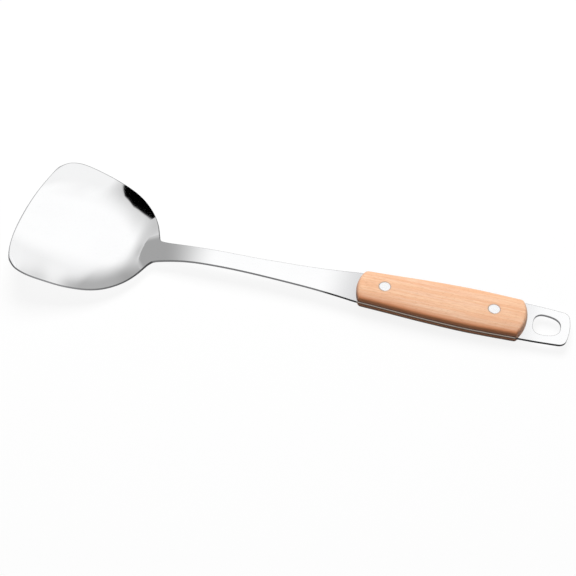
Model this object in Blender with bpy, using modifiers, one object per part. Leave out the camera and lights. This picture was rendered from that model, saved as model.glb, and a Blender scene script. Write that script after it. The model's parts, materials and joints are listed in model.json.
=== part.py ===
"""Kitchen turner: a pressed stainless sheet with two beech scales riveted to its tang.

The model is drawn with the tang level, the wood's front end at X = 0 and the tang's top face at
Z = 0. The blade points to -X and the tail to +X. An empty then lays it down as it rests on a table.
"""
import math

import bmesh
import bpy
import numpy as np
from mathutils import Matrix, Vector

# Sheet steel
SHEET_THICKNESS = 0.0016
BLADE_LENGTH = 0.0971
BLADE_WIDTH = 0.1034
DISH_DEPTH = 0.0125
RIM_RISE = 0.0154
NECK_LENGTH = 0.1367
NECK_WIDTH = 0.0127
NECK_DROP = 0.0060
BLADE_JOIN_WIDTH = 0.0180
TAIL_LENGTH = 0.0271
TAIL_CORNER_RADIUS = 0.0052
TAIL_END_BULGE = 0.0008

# Hanging hole
HOLE_LENGTH = 0.0175
HOLE_WIDTH = 0.0160
HOLE_END_DISTANCE = 0.0058

# Wood
HANDLE_WIDTH = 0.0310
WOOD_LENGTH = 0.1110
SCALE_THICKNESS = 0.0056
SCALE_WALL = 0.0012
FRONT_END_BULGE = 0.0030
REAR_END_BULGE = 0.0041
FRONT_END_ROUND = 0.0030
REAR_END_ROUND = 0.0028
CORNER_ROUND = 0.0018

# Rivets
FRONT_RIVET_DISTANCE = 0.0183
RIVET_SPACING = 0.0710
HEAD_DIAMETER = 0.0074
HEAD_THICKNESS = 0.0014
BARREL_DIAMETER = 0.0050
BARREL_WALL = 0.0008
TIP_CLEARANCE = 0.0005

# Clearances and drawing aids
SEAT_GAP = 0.0003
CUT_OVERRUN = 0.0020
WELD_DISTANCE = 0.000001
STRAIGHT_ANGLE = 0.5

# The blade's stations, from the front edge back to the end of the neck's flat tongue. Each is a curve
# from the centre line to the rim: shares of the blade's length forward of the join, of half its width,
# and of the rim's rise above the join, then shares of the length and of the dish's depth on the centre
# line, and the power of the curve between the two.
STATION_SHARES = (
    (0.889, 0.832, 0.975, 1.000, -0.114, 2.4),
    (0.852, 0.906, 0.997, 0.962, -0.045, 2.4),
    (0.815, 0.957, 0.985, 0.920, 0.030, 2.4),
    (0.755, 0.992, 0.930, 0.856, 0.135, 2.4),
    (0.686, 1.000, 0.822, 0.778, 0.260, 2.4),
    (0.598, 0.988, 0.665, 0.682, 0.410, 2.4),
    (0.512, 0.970, 0.500, 0.595, 0.550, 2.4),
    (0.427, 0.936, 0.356, 0.508, 0.695, 2.4),
    (0.338, 0.885, 0.218, 0.423, 0.835, 2.4),
    (0.252, 0.802, 0.112, 0.347, 0.945, 2.4),
    (0.176, 0.684, 0.038, 0.280, 1.000, 2.4),
    (0.118, 0.557, 0.008, 0.226, 0.965, 2.4),
    (0.077, 0.432, 0.010, 0.185, 0.895, 2.4),
    (0.052, 0.328, 0.013, 0.156, 0.820, 2.5),
    (0.036, 0.256, 0.006, 0.138, 0.762, 2.7),
    (0.021, 0.200, -0.020, 0.122, 0.714, 4.2),
)

# The neck, from the join back to the wood. Share of the neck's length in front of the wood, share of
# the way from the neck's width to the join's width, to the handle's width, and share of the drop.
NECK_SHARES = (
    (1.000, 0.970, 0.000, 1.000),
    (0.960, 0.600, 0.000, 0.810),
    (0.890, 0.270, 0.000, 0.480),
    (0.820, 0.080, 0.000, 0.240),
    (0.754, 0.010, 0.000, 0.110),
    (0.690, 0.000, 0.000, 0.040),
    (0.617, 0.000, 0.000, 0.000),
    (0.515, 0.000, 0.030, 0.000),
    (0.413, 0.000, 0.127, 0.000),
    (0.317, 0.000, 0.240, 0.000),
    (0.215, 0.000, 0.385, 0.000),
    (0.119, 0.000, 0.600, 0.000),
    (0.045, 0.000, 0.810, 0.000),
)

# The handle's plan. Share of the wood's length and share of the handle's width.
HANDLE_SHARES = (
    (0.020, 0.780),
    (0.100, 0.810),
    (0.200, 0.850),
    (0.360, 0.925),
    (0.550, 0.985),
    (0.700, 1.000),
    (0.880, 0.958),
    (1.000, 0.930),
)
TAIL_WIDTH_SHARE = 0.855
TAIL_START_WIDTH_SHARE = 0.910
TAIL_START_SHARE = 0.310

# Unit shapes of the hanging hole and of the wood's crown
HOLE_SQUARENESS = 2.6
HOLE_TAPER_SHARE = 0.13
CROWN_SQUARENESS = 2.8

# Counts
STATION_STEPS = 2
ACROSS_SEGMENTS = 20
CORNER_STEPS = 5
END_STEPS = 3
SCALE_SEGMENTS = 16
WOOD_STEPS = 2
HOLE_POINTS = 32
ROUND_STEPS = 24
TILT_ROUNDS = 12

# Degrees past which an edge is shaded sharp
SHARP_ANGLE = 35

TAIL_END = WOOD_LENGTH + TAIL_LENGTH
JOIN_X = -NECK_LENGTH
RIVET_PLACES = (
    ("front_rivet", FRONT_RIVET_DISTANCE),
    ("rear_rivet", FRONT_RIVET_DISTANCE + RIVET_SPACING),
)
UPPER_FACE = SEAT_GAP + SCALE_THICKNESS
LOWER_FACE = -SHEET_THICKNESS - SEAT_GAP - SCALE_THICKNESS


def clear_scene():
    for item in list(bpy.data.objects):
        bpy.data.objects.remove(item, do_unlink=True)


def collection(name):
    made = bpy.data.collections.new(name)
    bpy.context.scene.collection.children.link(made)
    return made


def material(name, colour, metallic, roughness):
    made = bpy.data.materials.new(name)
    made.use_nodes = True
    shader = made.node_tree.nodes["Principled BSDF"]
    shader.inputs["Base Color"].default_value = (*colour, 1.0)
    shader.inputs["Metallic"].default_value = metallic
    shader.inputs["Roughness"].default_value = roughness
    made.diffuse_color = (*colour, 1.0)
    return made


def smooth_rows(rows, steps):
    """Rows read from a smooth curve through the given rows, with that many steps between each two."""
    rows = np.array(rows, dtype=float)
    ends = np.vstack([2 * rows[0] - rows[1], rows, 2 * rows[-1] - rows[-2]])
    made = []
    for i in range(len(rows) - 1):
        before, start, end, after = ends[i:i + 4]
        for t in np.arange(steps) / steps:
            straight = 2 * start + (end - before) * t
            bend = (2 * before - 5 * start + 4 * end - after) * t ** 2
            twist = (3 * start - before - 3 * end + after) * t ** 3
            made.append((straight + bend + twist) / 2)
    made.append(rows[-1])
    return np.array(made)


def blade_rows():
    """Rim x, y and z, centre x and z, and power, for each station of the blade."""
    rows = []
    for rim_along, rim_across, rim_up, along, down, power in STATION_SHARES:
        rim = (JOIN_X - rim_along * BLADE_LENGTH, rim_across * BLADE_WIDTH / 2, rim_up * RIM_RISE - NECK_DROP)
        rows.append((*rim, JOIN_X - along * BLADE_LENGTH, -down * DISH_DEPTH, power))
    return rows


def neck_rows():
    """The neck's edge, from the join back to the wood."""
    rows = []
    handle_start = HANDLE_SHARES[0][1] * HANDLE_WIDTH
    for along, to_join, to_handle, drop in NECK_SHARES:
        width = NECK_WIDTH
        width += to_join * (BLADE_JOIN_WIDTH - NECK_WIDTH)
        width += to_handle * (handle_start - NECK_WIDTH)
        rows.append(flat_row(-along * NECK_LENGTH, width / 2, -drop * NECK_DROP))
    return rows


def handle_rows():
    """The tang's plan from the wood's front end to the start of the tail's round corners."""
    places = [(along * WOOD_LENGTH, share * HANDLE_WIDTH / 2) for along, share in HANDLE_SHARES]
    places.append((WOOD_LENGTH + TAIL_START_SHARE * TAIL_LENGTH, TAIL_START_WIDTH_SHARE * HANDLE_WIDTH / 2))
    places.append((TAIL_END - TAIL_END_BULGE - TAIL_CORNER_RADIUS, TAIL_WIDTH_SHARE * HANDLE_WIDTH / 2))
    return [flat_row(x, y, 0) for x, y in places]


def corner_rows():
    """The tail's round corners, with the end bowed out between them."""
    rows = []
    middle = TAIL_END - TAIL_END_BULGE - TAIL_CORNER_RADIUS
    half = TAIL_WIDTH_SHARE * HANDLE_WIDTH / 2 - TAIL_CORNER_RADIUS
    for i in range(1, CORNER_STEPS + 1):
        angle = math.pi / 2 * i / CORNER_STEPS
        x = middle + TAIL_CORNER_RADIUS * math.sin(angle)
        y = half + TAIL_CORNER_RADIUS * math.cos(angle)
        rows.append((x, y, 0, x + TAIL_END_BULGE * i / CORNER_STEPS, 0, 2))
    return rows


def flat_row(x, half_width, z):
    return (x, half_width, z, x, z, STATION_SHARES[-1][-1])


def body_rows():
    """All stations of the sheet.

    The rim runs smoothly past the end of the neck's flat tongue, where the centre line has a corner.
    """
    blade = blade_rows()
    rest = neck_rows() + handle_rows()
    rows = smooth_rows(blade + rest, STATION_STEPS)
    crease = (len(blade) - 1) * STATION_STEPS
    rows[:crease + 1, 3:] = smooth_rows(blade, STATION_STEPS)[:, 3:]
    rows[crease:, 3:] = smooth_rows(blade[-1:] + rest, STATION_STEPS)[:, 3:]
    return np.vstack([rows, corner_rows()])


def add_object(name, mesh, owner, parent=None, look=None):
    made = bpy.data.objects.new(name, mesh)
    owner.objects.link(made)
    made.parent = parent
    if look:
        mesh.materials.append(look)
    return made


def smooth_shading(mesh):
    mesh.shade_smooth()
    mesh.set_sharp_from_angle(angle=math.radians(SHARP_ANGLE))


def make_body(rows, owner, parent, look):
    """The sheet is a grid whose rows become stations and whose columns run from edge to edge."""
    bm = bmesh.new()
    bmesh.ops.create_grid(bm, x_segments=len(rows) - 1, y_segments=ACROSS_SEGMENTS, size=1)
    for vert in bm.verts:
        row = rows[round((vert.co.x + 1) / 2 * (len(rows) - 1))]
        across = (vert.co.y + math.sin(vert.co.y * math.pi / 2)) / 2
        rim_x, rim_y, rim_z, centre_x, centre_z, power = row
        share = abs(across) ** power
        x = centre_x + (rim_x - centre_x) * share
        vert.co = (x, rim_y * across, centre_z + (rim_z - centre_z) * share)
    merge_flat_faces(bm)
    mesh = bpy.data.meshes.new("blade_and_tang")
    bm.to_mesh(mesh)
    bm.free()
    smooth_shading(mesh)
    body = add_object("blade_and_tang", mesh, owner, parent, look)
    wall = body.modifiers.new("sheet_thickness", "SOLIDIFY")
    wall.thickness = SHEET_THICKNESS
    wall.offset = -1
    wall.use_even_offset = True
    return body


def merge_flat_faces(bm):
    """The tang is dead flat, so its faces become one."""
    flat = [face for face in bm.faces if all(abs(vert.co.z) < WELD_DISTANCE for vert in face.verts)]
    flat = [face for face in flat if min(vert.co.x for vert in face.verts) > -NECK_LENGTH]
    bmesh.ops.dissolve_faces(bm, faces=flat)


def outline_curve(name, points, half_height, owner):
    """A closed outline, filled and given its height, as a mesh object."""
    curve = bpy.data.curves.new(name, "CURVE")
    curve.dimensions = "2D"
    curve.fill_mode = "BOTH"
    curve.extrude = half_height
    line = curve.splines.new("POLY")
    line.points.add(len(points) - 1)
    for point, (x, y) in zip(line.points, points):
        point.co = (x, y, 0, 1)
    line.use_cyclic_u = True
    drawn = bpy.data.objects.new(name, curve)
    owner.objects.link(drawn)
    seen = drawn.evaluated_get(bpy.context.evaluated_depsgraph_get())
    mesh = bpy.data.meshes.new_from_object(seen)
    bpy.data.objects.remove(drawn)
    bm = bmesh.new()
    bm.from_mesh(mesh)
    bmesh.ops.remove_doubles(bm, verts=bm.verts, dist=WELD_DISTANCE)
    bmesh.ops.dissolve_limit(bm, angle_limit=math.radians(STRAIGHT_ANGLE), verts=bm.verts, edges=bm.edges)
    bmesh.ops.recalc_face_normals(bm, faces=bm.faces)
    bm.to_mesh(mesh)
    bm.free()
    return add_object(name, mesh, owner)


def scale_stations():
    """Places along the wood, packed toward its rounded ends, each with its height's share."""
    ends = [math.pi / 2 * i / END_STEPS for i in range(END_STEPS)]
    front = [(FRONT_END_ROUND * (1 - math.cos(angle)), math.sin(angle)) for angle in ends]
    rear = [(WOOD_LENGTH - REAR_END_ROUND * (1 - math.cos(angle)), math.sin(angle)) for angle in reversed(ends)]
    plan = np.linspace(FRONT_END_ROUND, WOOD_LENGTH - REAR_END_ROUND, WOOD_STEPS * len(HANDLE_SHARES))
    return front + [(float(x), 1) for x in plan] + rear


def corner_inset(x):
    """How far a scale's edge draws in at this place along the wood, which rounds its corners in plan."""
    reach = max(0, CORNER_ROUND - min(x, WOOD_LENGTH - x))
    return CORNER_ROUND - math.sqrt(CORNER_ROUND ** 2 - reach ** 2)


def make_scale(name, side, rows, owner, parent, look):
    """One slab of wood: a crowned grid drawn out to a flat back. Side is 1 above the tang, -1 below."""
    stations = scale_stations()
    bm = bmesh.new()
    bmesh.ops.create_grid(bm, x_segments=len(stations) - 1, y_segments=SCALE_SEGMENTS, size=1)
    for vert in bm.verts:
        x, rise = stations[round((vert.co.x + 1) / 2 * (len(stations) - 1))]
        angle = vert.co.y * math.pi / 2
        across = math.copysign(abs(math.sin(angle)) ** (2 / CROWN_SQUARENESS), angle)
        crown = abs(math.cos(angle)) ** (2 / CROWN_SQUARENESS) if abs(vert.co.y) < 1 else 0
        along = x / WOOD_LENGTH
        bow = FRONT_END_BULGE * (1 - along) ** 2 - REAR_END_BULGE * along ** 2
        bowed = x + bow * across ** 2
        half_width = np.interp(bowed, rows[:, 0], rows[:, 1]) - corner_inset(x)
        height = SCALE_WALL + (SCALE_THICKNESS - SCALE_WALL) * crown * rise
        vert.co = (bowed, half_width * across, height)
    rim = [edge for edge in bm.edges if edge.is_boundary]
    drawn = bmesh.ops.extrude_edge_only(bm, edges=rim)["geom"]
    for vert in drawn:
        if isinstance(vert, bmesh.types.BMVert):
            vert.co.z = 0
    bmesh.ops.holes_fill(bm, edges=[edge for edge in bm.edges if edge.is_boundary])
    bmesh.ops.recalc_face_normals(bm, faces=bm.faces)
    mesh = bpy.data.meshes.new(name)
    bm.to_mesh(mesh)
    bm.free()
    smooth_shading(mesh)
    scale = add_object(name, mesh, owner, parent, look)
    scale.location.z = SEAT_GAP if side > 0 else -SHEET_THICKNESS - SEAT_GAP
    scale.rotation_euler.x = 0 if side > 0 else math.pi
    return scale


def turned(name, profile, place, owner, parent, look):
    """A turned piece. The profile is a list of radii and heights."""
    mesh = bpy.data.meshes.new(name)
    points = [(radius, 0, height) for radius, height in profile]
    edges = [(i, i + 1) for i in range(len(points) - 1)]
    mesh.from_pydata(points, edges, [])
    piece = add_object(name, mesh, owner, parent, look)
    piece.location.x = place
    screw = piece.modifiers.new("turning", "SCREW")
    screw.steps = ROUND_STEPS
    screw.render_steps = ROUND_STEPS
    screw.use_merge_vertices = True
    screw.merge_threshold = WELD_DISTANCE
    screw.use_smooth_shade = False
    return piece


def make_rivet(name, place, owner, parent, look):
    """A post with a flush head above, seated in a socket with a flush head below."""
    head = HEAD_DIAMETER / 2
    barrel = BARREL_DIAMETER / 2
    bore = barrel - BARREL_WALL
    shank = bore - SEAT_GAP
    under_head = UPPER_FACE - HEAD_THICKNESS
    bore_floor = LOWER_FACE + HEAD_THICKNESS
    post = [
        (0, UPPER_FACE), (head, UPPER_FACE), (head, under_head),
        (shank, under_head), (shank, bore_floor + TIP_CLEARANCE), (0, bore_floor + TIP_CLEARANCE),
    ]
    socket = [
        (0, bore_floor), (bore, bore_floor), (bore, under_head - SEAT_GAP), (barrel, under_head - SEAT_GAP),
        (barrel, bore_floor), (head, bore_floor), (head, LOWER_FACE), (0, LOWER_FACE),
    ]
    turned(name + "_post", post, place, owner, parent, look)
    turned(name + "_socket", socket, place, owner, parent, look)


def rivet_cutter(name, place, owner, parent):
    """The stepped hole that a rivet sits in, through both scales and the tang."""
    head = HEAD_DIAMETER / 2 + SEAT_GAP
    barrel = BARREL_DIAMETER / 2 + SEAT_GAP
    recess = HEAD_THICKNESS + SEAT_GAP
    profile = [
        (0, UPPER_FACE + CUT_OVERRUN), (head, UPPER_FACE + CUT_OVERRUN), (head, UPPER_FACE - recess),
        (barrel, UPPER_FACE - recess), (barrel, LOWER_FACE + recess), (head, LOWER_FACE + recess),
        (head, LOWER_FACE - CUT_OVERRUN), (0, LOWER_FACE - CUT_OVERRUN),
    ]
    return as_cutter(turned(name + "_hole", profile, place, owner, parent, None))


def hole_cutter(owner, parent):
    """The hanging hole: an oval, a little square, that narrows toward the tail."""
    centre = TAIL_END - HOLE_END_DISTANCE - HOLE_LENGTH / 2
    points = []
    for i in range(HOLE_POINTS):
        angle = 2 * math.pi * i / HOLE_POINTS
        along = math.copysign(abs(math.cos(angle)) ** (2 / HOLE_SQUARENESS), math.cos(angle))
        across = math.copysign(abs(math.sin(angle)) ** (2 / HOLE_SQUARENESS), math.sin(angle))
        width = HOLE_WIDTH / 2 * (1 - HOLE_TAPER_SHARE * along)
        points.append((centre + along * HOLE_LENGTH / 2, across * width))
    cutter = outline_curve("hanging_hole", points, SHEET_THICKNESS + CUT_OVERRUN, owner)
    cutter.parent = parent
    return as_cutter(cutter)


def as_cutter(item):
    item.hide_render = True
    item.display_type = "WIRE"
    return item


def cut(item, cutter):
    boolean = item.modifiers.new(cutter.name, "BOOLEAN")
    boolean.operation = "DIFFERENCE"
    boolean.solver = "EXACT"
    boolean.object = cutter


def part_points(owner):
    """Every corner of the finished parts, in world space."""
    graph = bpy.context.evaluated_depsgraph_get()
    points = []
    for item in owner.objects:
        if item.type == "MESH":
            seen = item.evaluated_get(graph)
            points.extend(seen.matrix_world @ vert.co for vert in seen.data.vertices)
    return np.array([tuple(point) for point in points])


def lay_down(owner, rest_pose):
    """Turns the level model until the dish and the handle both touch the table, then centres it."""
    bpy.context.view_layer.update()
    points = part_points(owner)
    blade = points[points[:, 0] < JOIN_X]
    handle = points[points[:, 0] > 0]
    tilt = 0
    for _ in range(TILT_ROUNDS):
        lowest = [group[np.argmin(group[:, 2] * math.cos(tilt) - group[:, 0] * math.sin(tilt))]
                  for group in (blade, handle)]
        rise = lowest[1] - lowest[0]
        tilt = math.atan2(rise[2], rise[0])
    turn = Matrix.Rotation(tilt, 4, "Y")
    laid = points @ np.array(turn.to_3x3()).T
    low = laid.min(axis=0)
    high = laid.max(axis=0)
    rest_pose.rotation_euler.y = tilt
    rest_pose.location = Vector((-(low[0] + high[0]) / 2, 0, -low[2]))


def main():
    clear_scene()
    parts = collection("turner")
    cutters = collection("cutters")
    steel = material("polished_steel", (0.82, 0.82, 0.83), 1.0, 0.10)
    rivet_steel = material("rivet_steel", (0.86, 0.86, 0.86), 1.0, 0.25)
    beech = material("beech", (0.87, 0.62, 0.41), 0.0, 0.50)
    rest_pose = bpy.data.objects.new("rest_pose", None)
    parts.objects.link(rest_pose)

    rows = body_rows()
    body = make_body(rows, parts, rest_pose, steel)
    scales = [
        make_scale("upper_scale", 1, rows, parts, rest_pose, beech),
        make_scale("lower_scale", -1, rows, parts, rest_pose, beech),
    ]
    cut(body, hole_cutter(cutters, rest_pose))
    for name, place in RIVET_PLACES:
        hole = rivet_cutter(name, place, cutters, rest_pose)
        for item in [body] + scales:
            cut(item, hole)
        make_rivet(name, place, parts, rest_pose, rivet_steel)
    lay_down(parts, rest_pose)


main()
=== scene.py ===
"""The looks of a wok turner: a polished steel blade, neck and tang, with two beech scales riveted on.

Every piece is modelled with the tang level: its top face at Z = 0, the wood's front end at X = 0, the
blade toward -X and the tail toward +X. The finished piece is then laid down the way the part rests.
Lengths are in metres.
"""
import json
import math

import bmesh
import bpy
import numpy as np
from mathutils import Matrix, Vector


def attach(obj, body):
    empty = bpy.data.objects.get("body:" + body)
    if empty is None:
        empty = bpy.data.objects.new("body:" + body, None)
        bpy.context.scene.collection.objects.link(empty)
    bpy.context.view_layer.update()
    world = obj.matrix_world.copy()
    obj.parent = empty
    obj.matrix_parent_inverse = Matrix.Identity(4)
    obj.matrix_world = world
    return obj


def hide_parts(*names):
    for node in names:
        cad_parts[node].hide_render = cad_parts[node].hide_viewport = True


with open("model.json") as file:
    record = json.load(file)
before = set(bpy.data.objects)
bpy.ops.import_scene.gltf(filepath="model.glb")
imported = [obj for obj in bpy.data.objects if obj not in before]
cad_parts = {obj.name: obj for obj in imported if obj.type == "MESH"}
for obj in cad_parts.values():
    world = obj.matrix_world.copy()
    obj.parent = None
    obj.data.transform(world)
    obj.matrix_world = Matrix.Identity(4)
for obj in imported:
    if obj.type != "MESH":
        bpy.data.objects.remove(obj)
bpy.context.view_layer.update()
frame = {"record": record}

# Sheet steel
SHEET_THICKNESS = 0.0016
RIM_THICKNESS = 0.0010
BLADE_LENGTH = 0.0971
BLADE_WIDTH = 0.1034
DISH_DEPTH = 0.0125
RIM_RISE = 0.0154
NECK_LENGTH = 0.1367
NECK_WIDTH = 0.0127
NECK_DROP = 0.0060
BLADE_JOIN_WIDTH = 0.0180
TAIL_LENGTH = 0.0271
TAIL_CORNER_RADIUS = 0.0052
TAIL_END_BULGE = 0.0008
BURR_WIDTH = 0.00015
BURR_DEPTH = 0.00002
SIDE_LINE_WIDTH = 0.0005
FRONT_LINE_WIDTH = 0.0008

# Hanging hole
HOLE_LENGTH = 0.0175
HOLE_WIDTH = 0.0160
HOLE_END_DISTANCE = 0.0058

# Wood
HANDLE_WIDTH = 0.0310
WOOD_LENGTH = 0.1110
SCALE_THICKNESS = 0.0056
SCALE_WALL = 0.0012
FRONT_END_BULGE = 0.0030
REAR_END_BULGE = 0.0041
FRONT_END_ROUND = 0.0030
REAR_END_ROUND = 0.0028
CORNER_ROUND = 0.0018
SEAM_ROUND = 0.00025

# Rivets
FRONT_RIVET_DISTANCE = 0.0183
RIVET_SPACING = 0.0710
HEAD_DIAMETER = 0.0074
HEAD_THICKNESS = 0.0014
HEAD_DOME = 0.00012
HEAD_ROUND = 0.0002
HEAD_RING_SHARE = 0.1
BARREL_DIAMETER = 0.0050
BARREL_WALL = 0.0008
TIP_CLEARANCE = 0.0005

# Clearances and drawing aids
SEAT_GAP = 0.0003
RECESS_GAP = 0.00012
CUT_OVERRUN = 0.0020

# The blade's stations, from the front edge back to the end of the neck's flat tongue. Each is a curve
# from the centre line to the rim: shares of the blade's length forward of the join, of half its width,
# and of the rim's rise above the join, then shares of the length and of the dish's depth on the centre
# line, and the power of the curve between the two.
STATION_SHARES = (
    (0.889, 0.832, 0.975, 1.000, -0.114, 2.4),
    (0.852, 0.906, 0.997, 0.962, -0.045, 2.4),
    (0.815, 0.957, 0.985, 0.920, 0.030, 2.4),
    (0.755, 0.992, 0.930, 0.856, 0.135, 2.4),
    (0.686, 1.000, 0.822, 0.778, 0.260, 2.4),
    (0.598, 0.988, 0.665, 0.682, 0.410, 2.4),
    (0.512, 0.970, 0.500, 0.595, 0.550, 2.4),
    (0.427, 0.936, 0.356, 0.508, 0.695, 2.4),
    (0.338, 0.885, 0.218, 0.423, 0.835, 2.4),
    (0.252, 0.802, 0.112, 0.347, 0.945, 2.4),
    (0.176, 0.684, 0.038, 0.280, 1.000, 2.4),
    (0.118, 0.557, 0.008, 0.226, 0.965, 2.4),
    (0.077, 0.432, 0.010, 0.185, 0.895, 2.4),
    (0.052, 0.328, 0.013, 0.156, 0.820, 2.5),
    (0.036, 0.256, 0.006, 0.138, 0.762, 2.7),
    (0.021, 0.200, -0.020, 0.122, 0.714, 4.2),
)

# The neck, from the join back to the wood. Share of the neck's length in front of the wood, share of
# the way from the neck's width to the join's width, to the handle's width, and share of the drop.
NECK_SHARES = (
    (1.000, 0.970, 0.000, 1.000),
    (0.960, 0.600, 0.000, 0.810),
    (0.890, 0.270, 0.000, 0.480),
    (0.820, 0.080, 0.000, 0.240),
    (0.754, 0.010, 0.000, 0.110),
    (0.690, 0.000, 0.000, 0.040),
    (0.617, 0.000, 0.000, 0.000),
    (0.515, 0.000, 0.030, 0.000),
    (0.413, 0.000, 0.127, 0.000),
    (0.317, 0.000, 0.240, 0.000),
    (0.215, 0.000, 0.385, 0.000),
    (0.119, 0.000, 0.600, 0.000),
    (0.045, 0.000, 0.810, 0.000),
)

# The handle's plan. Share of the wood's length and share of the handle's width.
HANDLE_SHARES = (
    (0.020, 0.780),
    (0.100, 0.810),
    (0.200, 0.850),
    (0.360, 0.925),
    (0.550, 0.985),
    (0.700, 1.000),
    (0.880, 0.958),
    (1.000, 0.930),
)
TAIL_WIDTH_SHARE = 0.855
TAIL_START_WIDTH_SHARE = 0.910
TAIL_START_SHARE = 0.310

# Unit shapes of the hanging hole and of the wood's crown
HOLE_SQUARENESS = 2.6
HOLE_TAPER_SHARE = 0.13
CROWN_SQUARENESS = 2.8

# Counts
STATION_STEPS = 2
ACROSS_SEGMENTS = 20
CORNER_STEPS = 5
SHEET_LEVELS = 2
RIM_FADE_STATIONS = 10
SCALE_SEGMENTS = 16
SCALE_STATIONS = 16
END_STEPS = 4
SCALE_LEVELS = 2
SEAM_STEPS = 2
HOLE_POINTS = 64
ROUND_POINTS = 64
HEAD_ROUND_STEPS = 3
HEAD_RINGS = 3

# Smoothing angles in degrees
SHEET_SHADE_ANGLE = 20
SCALE_SHADE_ANGLE = 35
RIVET_SHADE_ANGLE = 30

# The least share of a face's normal along Z for a face that looks that way, and for one that is level
LOOKS_ALONG_Z = 0.5
IS_LEVEL = 0.99

# Grain: marks per metre along, across and up, how detailed they are, and the noise's low and high ends
GRAIN_ROUGHNESS = 0.55
WHEEL_LINES = ((120, 3600, 3600), 3, 0.35, 0.65)
WHEEL_HAZE = ((28, 45, 45), 2, 0.35, 0.65)
SHEAR_TEARS = ((3800, 3800, 500), 2, 0.35, 0.65)
SANDING_LINES = ((300, 5000, 5000), 2, 0.35, 0.65)
BELT_LINES = ((260, 6500, 6500), 3, 0.35, 0.65)
BEECH_BANDS = ((14, 150, 230), 2, 0.34, 0.66)
BEECH_RINGS = ((22, 620, 620), 3, 0.36, 0.64)
BEECH_PORES = ((160, 3400, 3400), 3, 0.40, 0.62)
BEECH_FLECKS = ((420, 3000, 1500), 1, 0.62, 0.72)

# How deep the marks are
WHEEL_LINE_DEPTH = 0.0000004
SHEAR_TEAR_DEPTH = 0.00002
BELT_LINE_DEPTH = 0.000003
BEECH_PORE_DEPTH = 0.000012

# Roughness, what marks and the dull steel by the wood add to it, and how much light the beech mirrors
MIRROR_ROUGHNESS = (0.025, 0.04)
WHEEL_LINE_ROUGHNESS = 0.015
DULL_ROUGHNESS = 0.12
SHEARED_ROUGHNESS = 0.34
SHEAR_TEAR_ROUGHNESS = 0.12
RIVET_ROUGHNESS = 0.15
BELT_LINE_ROUGHNESS = 0.06
BEECH_ROUGHNESS = 0.46
BEECH_PORE_ROUGHNESS = 0.10
BEECH_SHINE = 0.3

# Where the finishes of the steel change. A pair is where a finish starts and where it is whole. The
# steel is duller, and darkened with painted shade, this far in front of the wood and behind it, and this
# far in under its ends. The edge is sanded along the wood, from these distances inward of its ends. Shares
# are of the blade's length forward of the join, of the neck's length behind it, of the sheet's thickness
# down from its upper face, and of the way from the tail's end to the hanging hole. The painted grey
# reflection line along the rim fades in widths of that line, and the punched edge is this near the
# centre line.
DULL_AND_SHADE_FRONT_REACH = 0.025
DULL_AND_SHADE_REAR_REACH = 0.012
DULL_AND_SHADE_OVERLAP = 0.004
DULL_AND_SHADE_REAR_STRENGTH = 0.45
SANDED_FRONT = (0.002, 0.0035)
SANDED_REAR = (0.0045, 0.006)
SANDED_SHADE_SHARES = (0.40, 0.65)
RIM_REFLECTION_FADE = (1, 0.5)
RIM_REFLECTION_SHARES = (0.10, 0.25)
GROUND_NECK_SHARE = 0.12
GROUND_BLADE_SHARE = 0.65
PUNCHED_HALF_WIDTHS = (0.0098, 0.0092)
PUNCHED_SHARES = (0.35, 0.65)

# The beech's tints: how strong each is, and for an end or side, how far the wood's face has turned that
# way where the tint starts and where it is whole. The near side carries painted shade, darkest where it
# turns down, and the far side a painted light tone. A grey ring reaches this far round its rivet.
RING_TINT = 0.78
PORE_TINT = 0.42
FLECK_TINT = 0.5
RIVET_RING_TINT = 0.55
RIVET_RING_REACH = 0.0010
FRONT_END_TINT = 0.7
FRONT_END_TURNS = (-0.45, -0.95)
REAR_END_TINT = 0.2
REAR_END_TURNS = (0.45, 0.95)
FAR_LIT_TINT = 0.35
FAR_LIT_TURNS = (0.10, 0.75)
NEAR_SHADE_TURNS = (-0.15, -0.75)
LOWER_SHADE_TINT = 0.9
LOWER_SHADE_TURNS = (0.05, -0.15)

# Colours, as linear light
BRIGHT_STEEL = (0.990, 0.992, 0.996, 1)
HAZED_STEEL = (0.968, 0.970, 0.976, 1)
# Painted grey reflection along the blade's rim
RIM_REFLECTION_STEEL = (0.48, 0.48, 0.49, 1)
# Painted shade on the steel next to the wood
WOOD_SHADE_STEEL = (0.72, 0.722, 0.73, 1)
# The edge's near black: painted dark reflection over the sheared and torn steel
SHEARED_SHADE_STEEL = (0.012, 0.012, 0.013, 1)
TORN_SHADE_STEEL = (0.035, 0.035, 0.035, 1)
GROUND_STEEL = (0.35, 0.35, 0.36, 1)
PUNCHED_STEEL = (0.20, 0.20, 0.205, 1)
SANDED_STEEL = (0.36, 0.305, 0.265, 1)
SANDED_LINE_STEEL = (0.50, 0.43, 0.37, 1)
SHADED_STEEL = (0.05, 0.035, 0.03, 1)
RIVET_STEEL = (0.98, 0.98, 0.98, 1)
RIVET_LINE_STEEL = (0.92, 0.922, 0.93, 1)
ORANGE_BEECH = (1.000, 0.655, 0.430, 1)
PINK_BEECH = (0.985, 0.665, 0.480, 1)
RING_BEECH = (0.92, 0.50, 0.29, 1)
PORE_BEECH = (0.78, 0.40, 0.23, 1)
FLECK_BEECH = (0.62, 0.30, 0.16, 1)
RIVET_RING_BEECH = (0.50, 0.38, 0.31, 1)
END_BEECH = (0.78, 0.40, 0.26, 1)
# Painted light tone on the far side
FAR_LIT_BEECH = (0.93, 0.47, 0.20, 1)
# Painted shade on the near side
NEAR_SHADE_BEECH = (0.98, 0.40, 0.19, 1)
# Painted shade where the near side turns down, below the handle
LOWER_SHADE_BEECH = (0.16, 0.10, 0.08, 1)

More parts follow.
